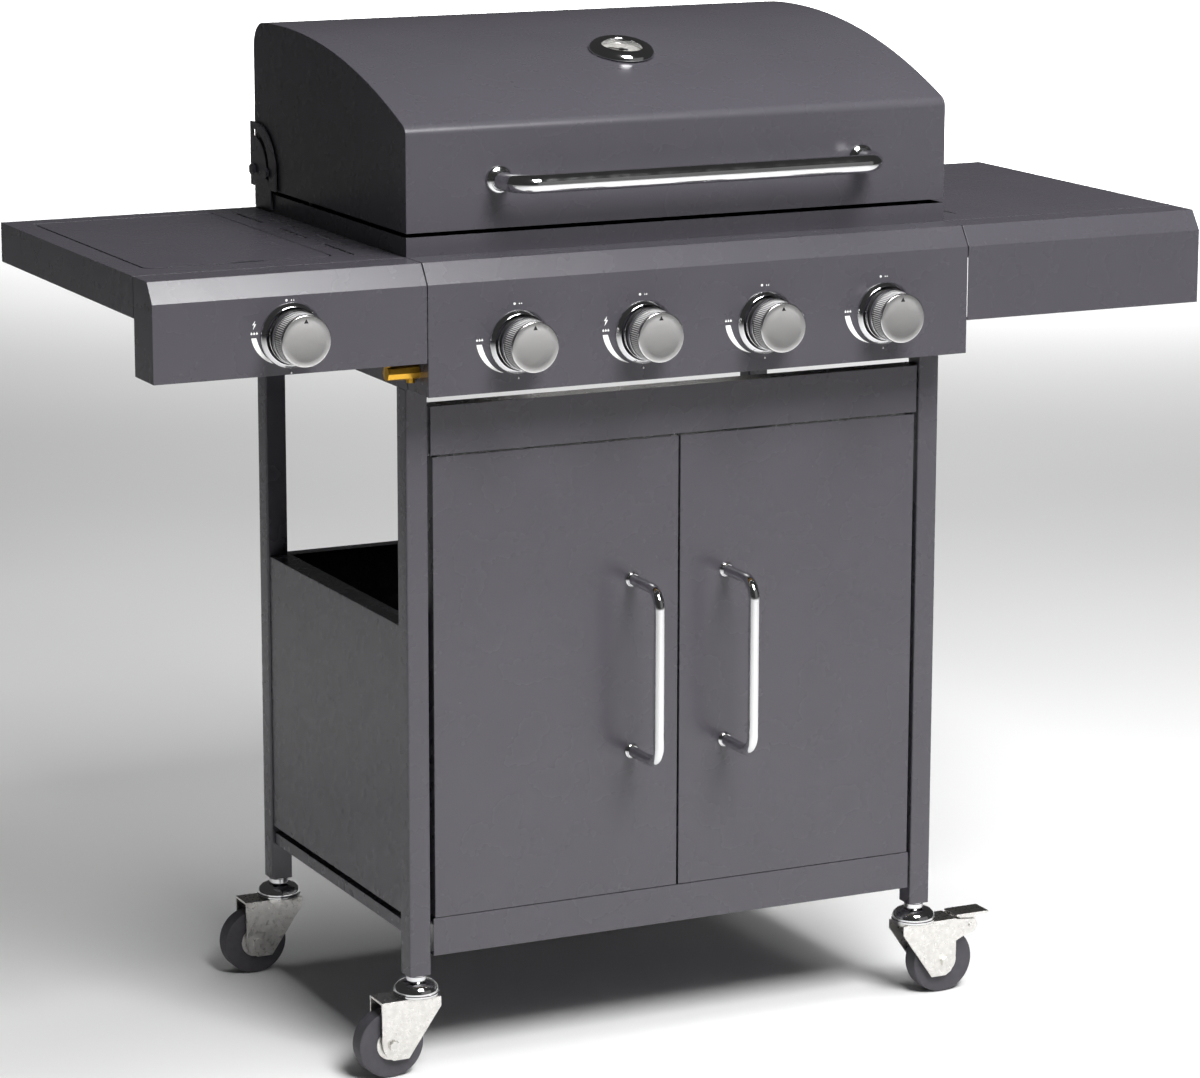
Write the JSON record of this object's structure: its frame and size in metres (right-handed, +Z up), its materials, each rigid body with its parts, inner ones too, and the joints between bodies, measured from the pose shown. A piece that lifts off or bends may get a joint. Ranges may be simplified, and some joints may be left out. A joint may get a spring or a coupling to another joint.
{
  "type": "gas barbecue grill",
  "caption": "Gas barbecue with an arched hood, side burner and side tables, on a two-door cart with swivel casters and bar handles.",
  "frame": {"origin": "on the floor, under the centre of the overall box", "axes": "+X right along the control panel, +Y to the back, +Z up"},
  "size_m": [1.238, 0.538, 1.0995],
  "materials": {
    "painted_steel": "satin charcoal powder coat",
    "firebox_enamel": "charcoal heat-proof coat, blackened inside",
    "chrome": "polished chrome plate",
    "knob_chrome": "satin chrome cap over a black grip",
    "zinc": "bright zinc plate",
    "stainless": "stainless steel",
    "cast_iron": "matt black enamelled cast iron",
    "brass": "turned brass",
    "wheel_rubber": "dark grey moulded tread"
  },
  "bodies": {
    "cart": {"leg_front_left": "painted_steel", "leg_front_right": "painted_steel", "leg_back_left": "painted_steel", "leg_back_right": "painted_steel", "side_panel_left": "painted_steel", "side_panel_right": "painted_steel", "back_panel": "painted_steel", "bottom_shelf": "painted_steel", "door_header_rail": "painted_steel", "firebox": "firebox_enamel", "burner_1": "stainless", "burner_2": "stainless", "burner_3": "stainless", "burner_4": "stainless", "cooking_grate_left": "cast_iron", "cooking_grate_right": "cast_iron", "warming_rack": "stainless", "gas_manifold": "brass", "control_panel": "painted_steel", "side_control_panel": "painted_steel", "side_fascia_right": "painted_steel", "side_table_left": "painted_steel", "side_table_right": "painted_steel", "side_burner": "cast_iron", "pan_support": "cast_iron", "hood_hinge_bracket_left": "painted_steel", "hood_hinge_bracket_right": "painted_steel", "caster_stem_front_left": "zinc", "caster_stem_front_right": "zinc", "caster_stem_back_left": "zinc", "caster_stem_back_right": "zinc"},
    "hood": {"hood_shell": "painted_steel", "hood_handle": "chrome", "thermometer": "chrome"},
    "side_lid": {"side_burner_lid": "painted_steel"},
    "left_door": {"door_left": "painted_steel", "door_handle_left": "chrome"},
    "right_door": {"door_right": "painted_steel", "door_handle_right": "chrome"},
    "tray": {"grease_tray": "zinc"},
    "stem_main_1": {"valve_stem_main_1": "brass"},
    "knob_main_1": {"knob_main_1": "knob_chrome"},
    "stem_main_2": {"valve_stem_main_2": "brass"},
    "knob_main_2": {"knob_main_2": "knob_chrome"},
    "stem_main_3": {"valve_stem_main_3": "brass"},
    "knob_main_3": {"knob_main_3": "knob_chrome"},
    "stem_main_4": {"valve_stem_main_4": "brass"},
    "knob_main_4": {"knob_main_4": "knob_chrome"},
    "stem_side": {"valve_stem_side": "brass"},
    "knob_side": {"knob_side": "knob_chrome"},
    "fork_front_left": {"caster_fork_front_left": "zinc"},
    "wheel_front_left": {"caster_wheel_front_left": "wheel_rubber"},
    "fork_front_right": {"caster_fork_front_right": "zinc"},
    "wheel_front_right": {"caster_wheel_front_right": "wheel_rubber"},
    "pedal_front_right": {"brake_pedal_front_right": "zinc"},
    "fork_back_left": {"caster_fork_back_left": "zinc"},
    "wheel_back_left": {"caster_wheel_back_left": "wheel_rubber"},
    "fork_back_right": {"caster_fork_back_right": "zinc"},
    "wheel_back_right": {"caster_wheel_back_right": "wheel_rubber"},
    "pedal_back_right": {"brake_pedal_back_right": "zinc"}
  },
  "joints": [
    {"name": "hood_hinge", "type": "hinge", "parent": "cart", "child": "hood", "pos_m": [0, 0.2482, 0.9332], "axis": [-1, 0, 0], "range_deg": [0, 82]},
    {"name": "side_lid_hinge", "type": "hinge", "parent": "cart", "child": "side_lid", "pos_m": [-0.488, 0.218, 0.8865], "axis": [-1, 0, 0], "range_deg": [0, 100]},
    {"name": "left_door_hinge", "type": "hinge", "parent": "cart", "child": "left_door", "pos_m": [-0.285, -0.1623, 0.4245], "axis": [0, 0, -1], "range_deg": [0, 110]},
    {"name": "right_door_hinge", "type": "hinge", "parent": "cart", "child": "right_door", "pos_m": [0.285, -0.1623, 0.4245], "axis": [0, 0, 1], "range_deg": [0, 110]},
    {"name": "grease_tray_slide", "type": "slide", "parent": "cart", "child": "tray", "axis": [0, 1, 0], "range_m": [0, 0.36]},
    {"name": "knob_main_1_push", "type": "slide", "parent": "cart", "child": "stem_main_1", "axis": [0, 1, 0], "range_m": [0, 0.004], "stiffness_N_per_m": 1500, "springref_m": -0.002},
    {"name": "knob_main_1_turn", "type": "hinge", "parent": "stem_main_1", "child": "knob_main_1", "pos_m": [-0.217, -0.259, 0.8033], "axis": [0, -1, 0], "range_deg": [0, 180]},
    {"name": "knob_main_2_push", "type": "slide", "parent": "cart", "child": "stem_main_2", "axis": [0, 1, 0], "range_m": [0, 0.004], "stiffness_N_per_m": 1500, "springref_m": -0.002},
    {"name": "knob_main_2_turn", "type": "hinge", "parent": "stem_main_2", "child": "knob_main_2", "pos_m": [-0.0723, -0.259, 0.8033], "axis": [0, -1, 0], "range_deg": [0, 180]},
    {"name": "knob_main_3_push", "type": "slide", "parent": "cart", "child": "stem_main_3", "axis": [0, 1, 0], "range_m": [0, 0.004], "stiffness_N_per_m": 1500, "springref_m": -0.002},
    {"name": "knob_main_3_turn", "type": "hinge", "parent": "stem_main_3", "child": "knob_main_3", "pos_m": [0.0723, -0.259, 0.8033], "axis": [0, -1, 0], "range_deg": [0, 180]},
    {"name": "knob_main_4_push", "type": "slide", "parent": "cart", "child": "stem_main_4", "axis": [0, 1, 0], "range_m": [0, 0.004], "stiffness_N_per_m": 1500, "springref_m": -0.002},
    {"name": "knob_main_4_turn", "type": "hinge", "parent": "stem_main_4", "child": "knob_main_4", "pos_m": [0.217, -0.259, 0.8033], "axis": [0, -1, 0], "range_deg": [0, 180]},
    {"name": "knob_side_push", "type": "slide", "parent": "cart", "child": "stem_side", "axis": [0, 1, 0], "range_m": [0, 0.004], "stiffness_N_per_m": 1500, "springref_m": -0.002},
    {"name": "knob_side_turn", "type": "hinge", "parent": "stem_side", "child": "knob_side", "pos_m": [-0.47, -0.259, 0.828], "axis": [0, -1, 0], "range_deg": [0, 180]},
    {"name": "caster_front_left_swivel", "type": "hinge", "parent": "cart", "child": "fork_front_left", "pos_m": [-0.3082, -0.1573, 0.0855], "axis": [0, 0, 1], "continuous": true},
    {"name": "wheel_front_left_spin", "type": "hinge", "parent": "fork_front_left", "child": "wheel_front_left", "pos_m": [-0.3417, -0.1573, 0.0375], "axis": [0, 1, 0], "continuous": true},
    {"name": "caster_front_right_swivel", "type": "hinge", "parent": "cart", "child": "fork_front_right", "pos_m": [0.3082, -0.1573, 0.0855], "axis": [0, 0, 1], "continuous": true},
    {"name": "wheel_front_right_spin", "type": "hinge", "parent": "fork_front_right", "child": "wheel_front_right", "pos_m": [0.3417, -0.1573, 0.0375], "axis": [0, 1, 0], "continuous": true},
    {"name": "brake_pedal_front_right_press", "type": "hinge", "parent": "fork_front_right", "child": "pedal_front_right", "pos_m": [0.3742, -0.1573, 0.0765], "axis": [0, 1, 0], "range_deg": [0, 16]},
    {"name": "caster_back_left_swivel", "type": "hinge", "parent": "cart", "child": "fork_back_left", "pos_m": [-0.3082, 0.244, 0.0855], "axis": [0, 0, 1], "continuous": true},
    {"name": "wheel_back_left_spin", "type": "hinge", "parent": "fork_back_left", "child": "wheel_back_left", "pos_m": [-0.3417, 0.244, 0.0375], "axis": [0, 1, 0], "continuous": true},
    {"name": "caster_back_right_swivel", "type": "hinge", "parent": "cart", "child": "fork_back_right", "pos_m": [0.3082, 0.244, 0.0855], "axis": [0, 0, 1], "continuous": true},
    {"name": "wheel_back_right_spin", "type": "hinge", "parent": "fork_back_right", "child": "wheel_back_right", "pos_m": [0.3417, 0.244, 0.0375], "axis": [0, 1, 0], "continuous": true},
    {"name": "brake_pedal_back_right_press", "type": "hinge", "parent": "fork_back_right", "child": "pedal_back_right", "pos_m": [0.3742, 0.244, 0.0765], "axis": [0, 1, 0], "range_deg": [0, 16]}
  ]
}
